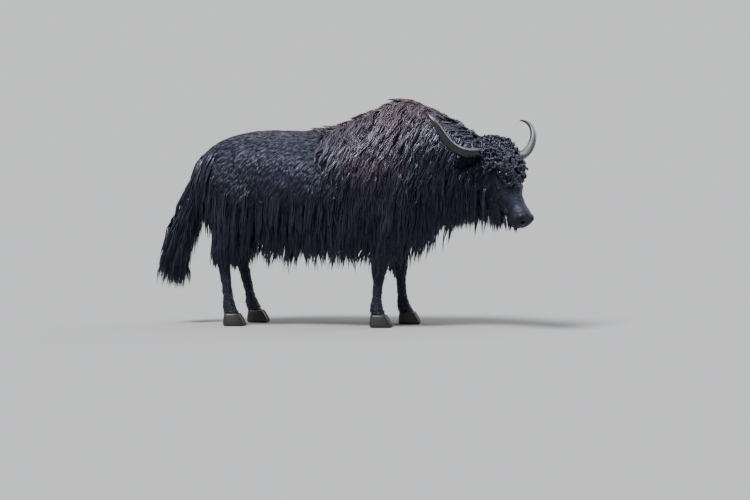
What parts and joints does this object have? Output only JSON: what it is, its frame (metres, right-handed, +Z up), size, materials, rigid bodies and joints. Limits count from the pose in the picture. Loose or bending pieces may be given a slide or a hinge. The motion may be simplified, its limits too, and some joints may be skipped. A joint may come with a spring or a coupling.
{
  "type": "yak",
  "caption": "Life-size still yak bull standing with its head turned to its right, long hanging coat, curved horns and cloven hooves.",
  "frame": {"origin": "middle of the bounding box's underside, on the floor that the hooves stand on", "axes": "+Z up, +X ahead, the way the body faces, +Y to the yak's left; the head is turned to -Y"},
  "size_m": [2.3826, 0.8718, 1.405],
  "materials": {
    "coat": "long black hair",
    "mane": "long brown-black hair",
    "horn": "satin grey horn",
    "hoof": "dull black horn",
    "eye": "wet dark brown"
  },
  "bodies": {
    "root": {"ear_left": "coat", "ear_right": "coat", "eye_left": "eye", "eye_right": "eye", "foreleg_left": "coat", "foreleg_right": "coat", "head": "coat", "hindleg_left": "coat", "hindleg_right": "coat", "hoof_front_left": "hoof", "hoof_front_right": "hoof", "hoof_hind_left": "hoof", "hoof_hind_right": "hoof", "horn_left": "horn", "horn_right": "horn", "neck": "mane", "tail": "coat", "torso": "mane"}
  },
  "joints": []
}
